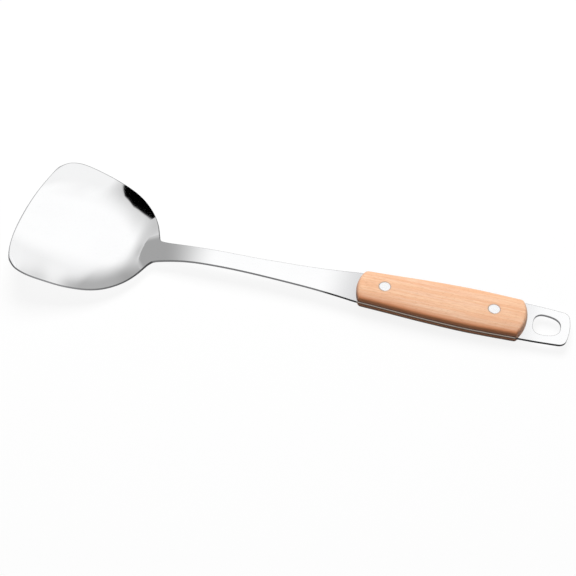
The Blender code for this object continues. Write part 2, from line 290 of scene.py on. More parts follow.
# Camera, seen from the level tang: where it stands, its turn round the part and its height
CAMERA_PLACE = (0.089269, -0.504399, 0.626402)
CAMERA_AZIMUTH = math.radians(15.038)
CAMERA_ELEVATION = math.radians(50.905)
CAMERA_LENS = 77.68
CAMERA_SENSOR = 36

# Studio: the softbox and the even light round it. A side is in degrees clockwise from straight behind
# the part, seen from above, and then degrees above the floor.
SOFTBOX_SIDE = (-12, 62)
SOFTBOX_DISTANCE = 1.3
SOFTBOX_SIZE = 0.9
SOFTBOX_POWER = 16.5
FILL_SIDE = (0, 65)
FILL_SPREAD = (-0.1, 1.0)
FILL_RANGE = (0.05, 0.36)
FLOOR_SIZE = 6
FLOOR_GREY = 0.13

# What polished steel mirrors: each panel's brightness, and its edges, which are a side and the angles
# from it at which the panel begins and is whole. They are the dark room behind the camera, the dim edge
# round it, the low wall behind the part, the dim wall on the blade's side, and the faint grey at the
# foot of the whole room and on the side that the camera stands on.
STUDIO_PANELS = (
    (0.00, ((-156.5, -7.6, 95.4, 94.6), (-6.7, 44.1, 42.0, 42.8), (-116.6, 52.3, 34.0, 33.2))),
    (0.64, ((-159, -3, 110, 84), (-77, 0, 95, 88))),
    (0.47, ((0, -90, 132, 103.5), (-109, 0, 103.5, 97), (0, 0, 55, 36))),
    (0.41, ((-100, -18, 81, 45),)),
    (0.91, ((0, -90, 137.5, 118),)),
    (0.91, ((180, 0, 98, 85),)),
)

# The grey card hung just over the neck, which only metal mirrors, as a painted reflection on the neck:
# where it hangs, the side it faces away from, its corners and its grey. Three runs lead from this grey,
# to white along the neck and to lighter greys at the card's tip and foot. Each has its turn on the card
# in degrees, where along it the run starts and ends, and the grey that it ends in.
CARD_PLACE = (-0.0909, 0.0075, 0.0157)
CARD_SIDE = (-38, 40)
CARD_CORNERS = (
    (-0.0195, -0.0026),
    (-0.0205, -0.0046),
    (-0.0193, -0.0064),
    (-0.0176, -0.0076),
    (-0.0164, -0.0079),
    (-0.0150, -0.0094),
    (-0.0116, -0.0112),
    (-0.0090, -0.0123),
    (-0.0040, -0.0134),
    (0.0010, -0.0124),
    (0.0034, -0.0110),
    (0.0460, 0.0150),
    (0.0460, 0.0390),
    (-0.0090, 0.0034),
    (-0.0128, -0.0005),
    (-0.0158, -0.0030),
)
CARD_GREY = 0.365
CARD_RUNS = (
    (34, -0.0005, 0.0430, 1.00),
    (0, -0.0155, -0.0200, 0.53),
    (-60, 0.0064, 0.0105, 0.60),
)

THICK_GROUP = "thick"
RIM_DISTANCE = "rim_distance"
JOIN_X = -NECK_LENGTH
TAIL_END = WOOD_LENGTH + TAIL_LENGTH
UPPER_FACE = SEAT_GAP + SCALE_THICKNESS
LOWER_FACE = -SHEET_THICKNESS - SEAT_GAP - SCALE_THICKNESS
RIVET_PLACES = {
    "front_rivet": FRONT_RIVET_DISTANCE,
    "rear_rivet": FRONT_RIVET_DISTANCE + RIVET_SPACING,
}


def rest_matrix():
    """Lays the level model down. The record's flat face is between the hanging hole and the tail's end."""
    mount = frame["record"]["mounts"][0]
    axis = Vector(mount["axis"])
    turn = Matrix.Rotation(math.atan2(axis.x, axis.z), 4, "Y")
    level_place = Vector((TAIL_END - HOLE_END_DISTANCE / 2, 0, 0))
    return Matrix.Translation(Vector(mount["pos_m"]) - turn @ level_place) @ turn


REST = rest_matrix()


# Modelling helpers

def deselect():
    for item in bpy.context.selected_objects:
        item.select_set(False)


def activate(item):
    deselect()
    item.select_set(True)
    bpy.context.view_layer.objects.active = item


def start(name, add, **settings):
    """Adds a primitive, deselects all of it and leaves it in edit mode."""
    deselect()
    add(**settings)
    item = bpy.context.object
    item.name = name
    item.data.name = name
    bpy.ops.object.mode_set(mode="EDIT")
    bpy.ops.mesh.select_all(action="DESELECT")
    return item


def pick(kind, test):
    """In edit mode, selects the vertices, edges or faces that pass the test, and nothing else."""
    bpy.ops.mesh.select_mode(type=kind)
    bpy.ops.mesh.select_all(action="DESELECT")
    mesh = bpy.context.edit_object.data
    bm = bmesh.from_edit_mesh(mesh)
    group = {"VERT": bm.verts, "EDGE": bm.edges, "FACE": bm.faces}[kind]
    for element in group:
        if test(element):
            element.select_set(True)
    bm.select_flush_mode()
    bmesh.update_edit_mesh(mesh)


def pick_points(numbers):
    """In edit mode, selects the vertices with these numbers, and nothing else."""
    mesh = bpy.context.edit_object.data
    bm = bmesh.from_edit_mesh(mesh)
    bm.verts.ensure_lookup_table()
    for vert in bm.verts:
        vert.select = False
    for number in numbers:
        bm.verts[number].select = True
    bm.select_flush_mode()
    bmesh.update_edit_mesh(mesh)


def resize(x, y, z, centre=(0, 0, 0)):
    bpy.ops.transform.resize(value=(x, y, z), center_override=centre)


def move(x, y, z):
    bpy.ops.transform.translate(value=(x, y, z))


def modify(item, kind, **settings):
    """Adds a modifier with these settings and applies it."""
    activate(item)
    bpy.ops.object.modifier_add(type=kind)
    modifier = item.modifiers[-1]
    for key, value in settings.items():
        setattr(modifier, key, value)
    bpy.ops.object.modifier_apply(modifier=modifier.name)


def subdivide(item, levels):
    modify(item, "SUBSURF", levels=levels, render_levels=levels)


def cut(item, cutter):
    """Cuts the item with the cutter, whose finish lines the cut, and removes the cutter."""
    modify(item, "BOOLEAN", object=cutter, operation="DIFFERENCE", solver="EXACT", material_mode="TRANSFER")
    bpy.data.objects.remove(cutter)


def shade(item, degrees):
    activate(item)
    bpy.ops.object.shade_smooth_by_angle(angle=math.radians(degrees))


def lay_down(item, node):
    """Puts a finished piece at its place in the part, standing for the CAD node and riding with it."""
    activate(item)
    item.matrix_world = REST @ item.matrix_world
    bpy.ops.object.transform_apply(location=True, rotation=True, scale=True)
    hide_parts(node)
    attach(item, "root")


# Stations

def smooth_rows(rows, steps):
    """Rows read from a smooth curve through the given rows, with that many steps between each two."""
    rows = np.array(rows, dtype=float)
    ends = np.vstack([2 * rows[0] - rows[1], rows, 2 * rows[-1] - rows[-2]])
    made = []
    for i in range(len(rows) - 1):
        before, start_row, end_row, after = ends[i:i + 4]
        for t in np.arange(steps) / steps:
            straight = 2 * start_row + (end_row - before) * t
            bend = (2 * before - 5 * start_row + 4 * end_row - after) * t ** 2
            twist = (3 * start_row - before - 3 * end_row + after) * t ** 3
            made.append((straight + bend + twist) / 2)
    made.append(rows[-1])
    return np.array(made)


def blade_rows():
    """Rim x, y and z, centre x and z, and power, for each station of the blade."""
    rows = []
    for rim_along, rim_across, rim_up, along, down, power in STATION_SHARES:
        rim_x = JOIN_X - rim_along * BLADE_LENGTH
        rim = (rim_x, rim_across * BLADE_WIDTH / 2, rim_up * RIM_RISE - NECK_DROP)
        rows.append((*rim, JOIN_X - along * BLADE_LENGTH, -down * DISH_DEPTH, power))
    return rows


def flat_row(x, half_width, z):
    return (x, half_width, z, x, z, STATION_SHARES[-1][-1])


def neck_rows():
    rows = []
    handle_start = HANDLE_SHARES[0][1] * HANDLE_WIDTH
    for along, to_join, to_handle, drop in NECK_SHARES:
        width = NECK_WIDTH
        width += to_join * (BLADE_JOIN_WIDTH - NECK_WIDTH)
        width += to_handle * (handle_start - NECK_WIDTH)
        rows.append(flat_row(-along * NECK_LENGTH, width / 2, -drop * NECK_DROP))
    return rows


def handle_rows():
    """The tang's plan from the wood's front end to the start of the tail's round corners."""
    places = [(along * WOOD_LENGTH, share * HANDLE_WIDTH / 2) for along, share in HANDLE_SHARES]
    places.append((WOOD_LENGTH + TAIL_START_SHARE * TAIL_LENGTH, TAIL_START_WIDTH_SHARE * HANDLE_WIDTH / 2))
    places.append((TAIL_END - TAIL_END_BULGE - TAIL_CORNER_RADIUS, TAIL_WIDTH_SHARE * HANDLE_WIDTH / 2))
    return [flat_row(x, y, 0) for x, y in places]


def corner_rows():
    """The tail's round corners, with the end bowed out between them."""
    rows = []
    middle = TAIL_END - TAIL_END_BULGE - TAIL_CORNER_RADIUS
    half = TAIL_WIDTH_SHARE * HANDLE_WIDTH / 2 - TAIL_CORNER_RADIUS
    for i in range(1, CORNER_STEPS + 1):
        angle = math.pi / 2 * i / CORNER_STEPS
        x = middle + TAIL_CORNER_RADIUS * math.sin(angle)
        y = half + TAIL_CORNER_RADIUS * math.cos(angle)
        rows.append((x, y, 0, x + TAIL_END_BULGE * i / CORNER_STEPS, 0, 2))
    return rows


def sheet_rows():
    """All stations of the sheet, and the number of the one where the tongue breaks into the dish.

    The rim runs smoothly past that station. The centre line has a corner there.
    """
    blade = blade_rows()
    rest = neck_rows() + handle_rows()
    rows = smooth_rows(blade + rest, STATION_STEPS)
    crease = (len(blade) - 1) * STATION_STEPS
    rows[:crease + 1, 3:] = smooth_rows(blade, STATION_STEPS)[:, 3:]
    rows[crease:, 3:] = smooth_rows(blade[-1:] + rest, STATION_STEPS)[:, 3:]
    return np.vstack([rows, corner_rows()]), crease


def shape_strip(rows, columns, profile):
    """Shapes a flat grid in edit mode. Its rows become stations, its columns keep their share across.

    A row is rim x, half width, rim z, centre x, centre z and power. The profile is each column's
    height on a unit station.
    """
    count = len(rows)
    half = len(columns) // 2
    for column in range(len(columns)):
        pick_points(range(column * count, (column + 1) * count))
        move(0, columns[column] - (column / half - 1), profile[column])
    for i, (rim_x, half_width, rim_z, centre_x, centre_z, power) in enumerate(rows):
        pick_points(range(i, count * len(columns), count))
        resize(1, half_width, 1)
        move(centre_x - (2 * i / (count - 1) - 1), 0, centre_z)
        if rim_x == centre_x and rim_z == centre_z:
            continue
        for column in range(half):
            share = abs(columns[column]) ** power
            pick_points((column * count + i, (len(columns) - 1 - column) * count + i))
            move((rim_x - centre_x) * share, 0, (rim_z - centre_z) * share)


# Pieces

def make_sheet(rows, crease, polished, edge):
    """Blade, neck, tang and tail: one sheet, dished at one end, with a narrow burr round its upper face."""
    item = start("steel_body", bpy.ops.mesh.primitive_grid_add,
                 x_subdivisions=len(rows) - 1, y_subdivisions=ACROSS_SEGMENTS, size=2)
    columns = np.linspace(-1, 1, ACROSS_SEGMENTS + 1)
    shape_strip(rows, columns, np.zeros(len(columns)))

    count = len(rows)
    pick("EDGE", lambda e: all(v.index % count == crease for v in e.verts)
         and all(ACROSS_SEGMENTS > v.index // count > 0 for v in e.verts))
    bpy.ops.transform.edge_crease(value=1)
    bpy.ops.object.mode_set(mode="OBJECT")
    thin_rim(item, count)
    measure_rim(item, count)
    subdivide(item, SHEET_LEVELS)

    item.data.materials.append(polished)
    item.data.materials.append(edge)
    bpy.ops.object.mode_set(mode="EDIT")
    bpy.ops.mesh.select_all(action="SELECT")
    bpy.ops.mesh.inset(thickness=BURR_WIDTH, use_select_inset=True)
    item.active_material_index = 1
    bpy.ops.object.material_slot_assign()
    pick("FACE", lambda f: min(v.co.x for v in f.verts) > WOOD_LENGTH / 2 and f.material_index == 0)
    bpy.ops.mesh.dissolve_faces()
    bpy.ops.object.mode_set(mode="OBJECT")
    modify(item, "SOLIDIFY", thickness=SHEET_THICKNESS, offset=-1, use_even_offset=True,
           material_offset_rim=1, vertex_group=THICK_GROUP)
    cut(item, make_hole_cutter(edge))
    for place in RIVET_PLACES.values():
        cut(item, make_rivet_cutter(place, edge))
    shade(item, SHEET_SHADE_ANGLE)
    return item


def thin_rim(item, count):
    """Marks where the sheet is whole, so that the blade's ground rim comes out thinner."""
    group = item.vertex_groups.new(name=THICK_GROUP)
    rim = RIM_THICKNESS / SHEET_THICKNESS
    blade = (len(STATION_SHARES) - 1) * STATION_STEPS
    for vert in item.data.vertices:
        station = vert.index % count
        on_rim = vert.index // count in (0, ACROSS_SEGMENTS) or station == 0
        back = min(1, max(0, station - blade + RIM_FADE_STATIONS) / RIM_FADE_STATIONS)
        group.add([vert.index], rim + (1 - rim) * back if on_rim else 1, "REPLACE")


def measure_rim(item, count):
    """Keeps each point's distance from the rim, in widths of the painted grey reflection line along it."""
    kept = item.data.attributes.new(RIM_DISTANCE, "FLOAT", "POINT")
    verts = item.data.vertices
    for vert in verts:
        station, column = vert.index % count, vert.index // count
        side = 0 if column < ACROSS_SEGMENTS / 2 else ACROSS_SEGMENTS
        to_side = (vert.co - verts[side * count + station].co).length / SIDE_LINE_WIDTH
        to_front = (vert.co - verts[column * count].co).length / FRONT_LINE_WIDTH
        kept.data[vert.index].value = min(to_side, to_front)


def make_hole_cutter(look):
    """The hanging hole: an oval, a little square, that narrows toward the tail."""
    centre = TAIL_END - HOLE_END_DISTANCE - HOLE_LENGTH / 2
    depth = SHEET_THICKNESS + 2 * CUT_OVERRUN
    item = start("hole_cutter", bpy.ops.mesh.primitive_cylinder_add,
                 vertices=HOLE_POINTS, radius=1, depth=depth, location=(centre, 0, -SHEET_THICKNESS / 2))
    bm = bmesh.from_edit_mesh(item.data)
    for vert in bm.verts:
        along, across = (math.copysign(abs(c) ** (2 / HOLE_SQUARENESS), c) for c in vert.co.xy)
        vert.co.x = along * HOLE_LENGTH / 2
        vert.co.y = across * HOLE_WIDTH / 2 * (1 - HOLE_TAPER_SHARE * along)
    bmesh.update_edit_mesh(item.data)
    pick("FACE", lambda f: f.normal.z > LOOKS_ALONG_Z)
    move(0, 0, -CUT_OVERRUN - BURR_DEPTH)
    bpy.ops.mesh.extrude_region_move(TRANSFORM_OT_translate={"value": (0, 0, 0)})
    grow = 1 + 2 * BURR_WIDTH / HOLE_WIDTH
    resize(grow, grow, 1, (centre, 0, 0))
    bpy.ops.mesh.extrude_region_move(TRANSFORM_OT_translate={"value": (0, 0, CUT_OVERRUN)})
    bpy.ops.object.mode_set(mode="OBJECT")
    item.data.materials.append(look)
    return item


def make_rivet_cutter(place, look):
    """The stepped hole that a rivet sits in: the barrel's width through the tang, wider under the heads."""
    barrel = BARREL_DIAMETER / 2 + RECESS_GAP
    head = HEAD_DIAMETER / 2 + RECESS_GAP
    head_depth = HEAD_THICKNESS + RECESS_GAP
    middle = (UPPER_FACE + LOWER_FACE) / 2
    item = start("rivet_cutter", bpy.ops.mesh.primitive_cylinder_add, vertices=ROUND_POINTS, radius=barrel,
                 depth=UPPER_FACE - LOWER_FACE - 2 * head_depth, location=(place, 0, middle))
    for side in (1, -1):
        pick("FACE", lambda f: f.normal.z * side > LOOKS_ALONG_Z)
        bpy.ops.mesh.extrude_region_move(TRANSFORM_OT_translate={"value": (0, 0, 0)})
        resize(head / barrel, head / barrel, 1, (place, 0, middle))
        bpy.ops.mesh.extrude_region_move(
            TRANSFORM_OT_translate={"value": (0, 0, side * (head_depth + CUT_OVERRUN))})
    bpy.ops.object.mode_set(mode="OBJECT")
    item.data.materials.append(look)
    return item


def corner_inset(x):
    """How far a scale's edge draws in at this place along the wood, which rounds its corners in plan."""
    reach = max(0, CORNER_ROUND - min(x, WOOD_LENGTH - x))
    return CORNER_ROUND - math.sqrt(CORNER_ROUND ** 2 - reach ** 2)


def make_scale(name, side, rows, look):
    """One slab of wood: a crowned strip drawn down to a flat back. Side is 1 above the tang, -1 below."""
    ends = [math.pi / 2 * i / END_STEPS for i in range(END_STEPS)]
    front = [(FRONT_END_ROUND * (1 - math.cos(angle)), math.sin(angle)) for angle in ends]
    ends.reverse()
    rear = [(WOOD_LENGTH - REAR_END_ROUND * (1 - math.cos(angle)), math.sin(angle)) for angle in ends]
    plan = np.linspace(FRONT_END_ROUND, WOOD_LENGTH - REAR_END_ROUND, SCALE_STATIONS)
    stations = front + [(float(x), 1) for x in plan] + rear
    item = start(name, bpy.ops.mesh.primitive_grid_add,
                 x_subdivisions=len(stations) - 1, y_subdivisions=SCALE_SEGMENTS, size=2)
    angles = np.linspace(-math.pi / 2, math.pi / 2, SCALE_SEGMENTS + 1)
    columns = np.sign(angles) * np.abs(np.sin(angles)) ** (2 / CROWN_SQUARENESS)
    crown = np.abs(np.cos(angles)) ** (2 / CROWN_SQUARENESS)
    bm = bmesh.from_edit_mesh(item.data)
    count = len(stations)
    for vert in bm.verts:
        x, rise = stations[vert.index % count]
        column = vert.index // count
        along = x / WOOD_LENGTH
        bow = FRONT_END_BULGE * (1 - along) ** 2 - REAR_END_BULGE * along ** 2
        bowed = x + bow * columns[column] ** 2
        half_width = np.interp(bowed, rows[:, 0], rows[:, 1]) - corner_inset(x)
        height = SCALE_WALL + (SCALE_THICKNESS - SCALE_WALL) * crown[column] * rise
        vert.co = (bowed, half_width * columns[column], height)
    bmesh.update_edit_mesh(item.data)
    bpy.ops.object.mode_set(mode="OBJECT")
    subdivide(item, SCALE_LEVELS)
    bpy.ops.object.mode_set(mode="EDIT")
    pick("EDGE", lambda e: e.is_boundary)
    bpy.ops.mesh.extrude_region_move(TRANSFORM_OT_translate={"value": (0, 0, -SCALE_WALL)})
    bpy.ops.mesh.edge_face_add()
    pick("EDGE", lambda e: all(abs(v.co.z) < SCALE_WALL / 2 for v in e.verts))
    bpy.ops.mesh.bevel(offset=SEAM_ROUND, segments=SEAM_STEPS)
    bpy.ops.mesh.select_all(action="SELECT")
    bpy.ops.mesh.normals_make_consistent(inside=False)
    bpy.ops.object.mode_set(mode="OBJECT")
    item.location.z = SEAT_GAP if side > 0 else -SHEET_THICKNESS - SEAT_GAP
    item.rotation_euler.x = 0 if side > 0 else math.pi
    activate(item)
    bpy.ops.object.transform_apply(location=True, rotation=True, scale=True)
    item.data.materials.append(look)
    for place in RIVET_PLACES.values():
        cut(item, make_rivet_cutter(place, look))
    shade(item, SCALE_SHADE_ANGLE)
    return item


def make_post(name, place, look):
    """The rivet's upper half: a flush, faintly domed head on a solid shank."""
    shank = BARREL_DIAMETER / 2 - BARREL_WALL - RECESS_GAP
    length = UPPER_FACE - HEAD_THICKNESS - (LOWER_FACE + HEAD_THICKNESS + TIP_CLEARANCE)
    item = start(name, bpy.ops.mesh.primitive_cylinder_add, vertices=ROUND_POINTS, radius=HEAD_DIAMETER / 2,
                 depth=HEAD_THICKNESS, location=(place, 0, UPPER_FACE - HEAD_THICKNESS / 2))
    shape_head(1)
    pick("FACE", lambda f: f.normal.z < -LOOKS_ALONG_Z)
    bpy.ops.mesh.inset(thickness=HEAD_DIAMETER / 2 - shank)
    bpy.ops.mesh.extrude_region_move(TRANSFORM_OT_translate={"value": (0, 0, -length)})
    return finish_rivet(item, look)


def make_socket(name, place, look):
    """The rivet's lower half: a flush head with a hollow barrel that takes the post."""
    barrel = BARREL_DIAMETER / 2
    length = UPPER_FACE - HEAD_THICKNESS - SEAT_GAP - (LOWER_FACE + HEAD_THICKNESS)
    item = start(name, bpy.ops.mesh.primitive_cylinder_add, vertices=ROUND_POINTS, radius=HEAD_DIAMETER / 2,
                 depth=HEAD_THICKNESS, location=(place, 0, LOWER_FACE + HEAD_THICKNESS / 2))
    shape_head(-1)
    pick("FACE", lambda f: f.normal.z > LOOKS_ALONG_Z)
    bpy.ops.mesh.inset(thickness=HEAD_DIAMETER / 2 - barrel)
    bpy.ops.mesh.extrude_region_move(TRANSFORM_OT_translate={"value": (0, 0, length)})
    bpy.ops.mesh.inset(thickness=BARREL_WALL)
    bpy.ops.mesh.extrude_region_move(TRANSFORM_OT_translate={"value": (0, 0, -length)})
    return finish_rivet(item, look)


def shape_head(side):
    """Rounds a head's rim and gives its face a faint dome."""
    pick("EDGE", lambda e: all(v.co.z * side > 0 for v in e.verts))
    bpy.ops.mesh.bevel(offset=HEAD_ROUND, segments=HEAD_ROUND_STEPS)
    for ring in range(HEAD_RINGS, 0, -1):
        pick("FACE", lambda f: f.normal.z * side > IS_LEVEL and len(f.verts) == ROUND_POINTS)
        bpy.ops.mesh.inset(thickness=HEAD_RING_SHARE * HEAD_DIAMETER)
        move(0, 0, side * HEAD_DOME * ring / (HEAD_RINGS + 1))


def finish_rivet(item, look):
    bpy.ops.object.mode_set(mode="OBJECT")
    item.data.materials.append(look)
    shade(item, RIVET_SHADE_ANGLE)
    return item


# Finishes

def add_node(tree, kind, inputs, **options):
    """Adds a node with these options. An input given as a socket is linked, and any other is set."""
    made = tree.nodes.new(kind)
    for key, value in options.items():
        setattr(made, key, value)
    for key, value in inputs.items():
        if isinstance(value, bpy.types.NodeSocket):
            tree.links.new(value, made.inputs[key])
        else:
            made.inputs[key].default_value = value
    return made


def calculate(tree, operation, *values):
    made = add_node(tree, "ShaderNodeMath", dict(enumerate(values)), operation=operation)
    return made.outputs[0]


def multiply(tree, first, second):
    return calculate(tree, "MULTIPLY", first, second)


def stretch(tree, vector, factors):
    """The vector with its three parts multiplied by these."""
    made = add_node(tree, "ShaderNodeVectorMath", {0: vector, 1: factors}, operation="MULTIPLY")
    return made.outputs[0]


def measure(tree, operation, vector, other):
    """The distance between two vectors, or how far one reaches in the direction of the other."""
    made = add_node(tree, "ShaderNodeVectorMath", {0: vector, 1: other}, operation=operation)
    return made.outputs["Value"]


def split(tree, vector):
    """The vector's parts along the part, across it and up."""
    return add_node(tree, "ShaderNodeSeparateXYZ", {"Vector": vector}).outputs


def ramp(tree, value, low, high, start=0.0, end=1.0):
    """The value's way from low to high, as a smooth run from start to end."""
    inputs = {"Value": value, "From Min": low, "From Max": high, "To Min": start, "To Max": end}
    made = add_node(tree, "ShaderNodeMapRange", inputs, interpolation_type="SMOOTHSTEP")
    return made.outputs[0]


def blend(tree, share, first, second):
    """The first colour turned into the second by that share."""
    made = add_node(tree, "ShaderNodeMix", {0: share, 6: first, 7: second}, data_type="RGBA")
    return made.outputs[2]


def make_grain():
    """Long soft streaks in one direction, for brushed metal and for wood alike."""
    group = bpy.data.node_groups.new("grain", "ShaderNodeTree")
    for name in ("Position", "Marks per Metre"):
        group.interface.new_socket(name, in_out="INPUT", socket_type="NodeSocketVector")
    for name in ("Detail", "Low", "High"):
        group.interface.new_socket(name, in_out="INPUT", socket_type="NodeSocketFloat")
    group.interface.new_socket("Streaks", in_out="OUTPUT", socket_type="NodeSocketFloat")
    given = group.nodes.new("NodeGroupInput").outputs
    stretched = stretch(group, given["Position"], given["Marks per Metre"])
    inputs = {"Vector": stretched, "Scale": 1.0, "Detail": given["Detail"], "Roughness": GRAIN_ROUGHNESS}
    noise = add_node(group, "ShaderNodeTexNoise", inputs)
    soft = ramp(group, noise.outputs[0], given["Low"], given["High"])
    add_node(group, "NodeGroupOutput", {"Streaks": soft})
    return group


def streaks(tree, grain, place, kind):
    """Streaks of one kind of grain."""
    marks, detail, low, high = kind
    inputs = {"Position": place, "Marks per Metre": marks, "Detail": detail, "Low": low, "High": high}
    return add_node(tree, "ShaderNodeGroup", inputs, node_tree=grain).outputs[0]


def level_position(tree):
    """A place on a piece, read from the level tang."""
    back = REST.inverted()
    place = add_node(tree, "ShaderNodeTexCoord", {}).outputs["Object"]
    inputs = {"Vector": place, "Location": back.to_translation(), "Rotation": back.to_euler()}
    return add_node(tree, "ShaderNodeMapping", inputs).outputs[0]


def new_material(name, metallic):
    """A material, its node tree and its shader."""
    made = bpy.data.materials.new(name)
    made.use_nodes = True
    tree = made.node_tree
    shader = tree.nodes["Principled BSDF"]
    shader.inputs["Metallic"].default_value = metallic
    return made, tree, shader


def connect(tree, shader, **sockets):
    """Links each socket to the shader's input of that name."""
    for key, value in sockets.items():
        tree.links.new(value, shader.inputs[key.replace("_", " ")])


def raise_marks(tree, shader, height, depth):
    bump = add_node(tree, "ShaderNodeBump", {"Height": height, "Distance": depth, "Strength": 1.0})
    connect(tree, shader, Normal=bump.outputs[0])


def make_polished_steel(grain):
    """Near mirror steel, with faint lines from the polishing wheel, a thin painted grey reflection along
    the blade's rim, and duller close to the wood, where painted shade darkens it.
    """
    made, tree, shader = new_material("polished_steel", 1)
    place = level_position(tree)
    along = split(tree, place)[0]
    lines = streaks(tree, grain, place, WHEEL_LINES)
    haze = streaks(tree, grain, place, WHEEL_HAZE)
    colour = blend(tree, multiply(tree, lines, haze), BRIGHT_STEEL, HAZED_STEEL)

    # Painted reflection: a thin grey line along the blade's rim.
    from_rim = add_node(tree, "ShaderNodeAttribute", {}, attribute_name=RIM_DISTANCE).outputs["Fac"]
    on_blade = ramp(tree, along, *(JOIN_X - share * BLADE_LENGTH for share in RIM_REFLECTION_SHARES))
    rim_reflection = multiply(tree, ramp(tree, from_rim, *RIM_REFLECTION_FADE), on_blade)
    colour = blend(tree, rim_reflection, colour, RIM_REFLECTION_STEEL)

    # Painted shade on the steel next to the wood, which is also duller there; weaker behind the wood.
    before = ramp(tree, along, -DULL_AND_SHADE_FRONT_REACH, DULL_AND_SHADE_OVERLAP)
    behind = ramp(tree, along, WOOD_LENGTH + DULL_AND_SHADE_REAR_REACH, WOOD_LENGTH - DULL_AND_SHADE_OVERLAP)
    in_front = ramp(tree, along, WOOD_LENGTH / 2, 0, DULL_AND_SHADE_REAR_STRENGTH, 1)
    dull_and_shade = multiply(tree, multiply(tree, before, behind), in_front)
    colour = blend(tree, dull_and_shade, colour, WOOD_SHADE_STEEL)

    mirror = ramp(tree, haze, 0, 1, *MIRROR_ROUGHNESS)
    rough = calculate(tree, "MULTIPLY_ADD", lines, WHEEL_LINE_ROUGHNESS, mirror)
    rough = calculate(tree, "MULTIPLY_ADD", dull_and_shade, DULL_ROUGHNESS, rough)
    connect(tree, shader, Base_Color=colour, Roughness=rough)
    raise_marks(tree, shader, lines, WHEEL_LINE_DEPTH)
    return made


def make_edge_steel(grain):
    """The sheet's sheared edge and burr: dull, and near black with painted dark reflection; lighter round
    the blade, where it is ground, and inside the hanging hole, and sanded bright where it is flush with the
    wood, with painted shade toward its lower face.
    """
    made, tree, shader = new_material("sheared_edge_and_shade", 1)
    place = level_position(tree)
    along, across, up = split(tree, place)
    tears = streaks(tree, grain, place, SHEAR_TEARS)
    # Painted dark reflection: the sheared edge is near black, with its tears a little lighter.
    colour = blend(tree, tears, SHEARED_SHADE_STEEL, TORN_SHADE_STEEL)
    neck_start = JOIN_X + GROUND_NECK_SHARE * NECK_LENGTH
    ground = ramp(tree, along, neck_start, JOIN_X - GROUND_BLADE_SHARE * BLADE_LENGTH)
    colour = blend(tree, ground, colour, GROUND_STEEL)

    in_width = ramp(tree, calculate(tree, "ABSOLUTE", across), *PUNCHED_HALF_WIDTHS)
    in_length = ramp(tree, along, *(TAIL_END - share * HOLE_END_DISTANCE for share in PUNCHED_SHARES))
    colour = blend(tree, multiply(tree, in_width, in_length), colour, PUNCHED_STEEL)

    lines = streaks(tree, grain, place, SANDING_LINES)
    bright = blend(tree, lines, SANDED_STEEL, SANDED_LINE_STEEL)
    shaded = ramp(tree, up, *(-share * SHEET_THICKNESS for share in SANDED_SHADE_SHARES))
    bright = blend(tree, shaded, bright, SHADED_STEEL)
    front = ramp(tree, along, *SANDED_FRONT)
    rear = ramp(tree, along, *(WOOD_LENGTH - distance for distance in SANDED_REAR))
    colour = blend(tree, multiply(tree, front, rear), colour, bright)

    rough = calculate(tree, "MULTIPLY_ADD", tears, SHEAR_TEAR_ROUGHNESS, SHEARED_ROUGHNESS)
    connect(tree, shader, Base_Color=colour, Roughness=rough)
    raise_marks(tree, shader, tears, SHEAR_TEAR_DEPTH)
    return made


def make_rivet_steel(grain):
    """Rivet heads ground flush with the wood, with the belt's fine lines along the handle."""
    made, tree, shader = new_material("rivet_steel", 1)
    lines = streaks(tree, grain, level_position(tree), BELT_LINES)
    rough = calculate(tree, "MULTIPLY_ADD", lines, BELT_LINE_ROUGHNESS, RIVET_ROUGHNESS)
    connect(tree, shader, Base_Color=blend(tree, lines, RIVET_STEEL, RIVET_LINE_STEEL), Roughness=rough)
    raise_marks(tree, shader, lines, BELT_LINE_DEPTH)
    return made


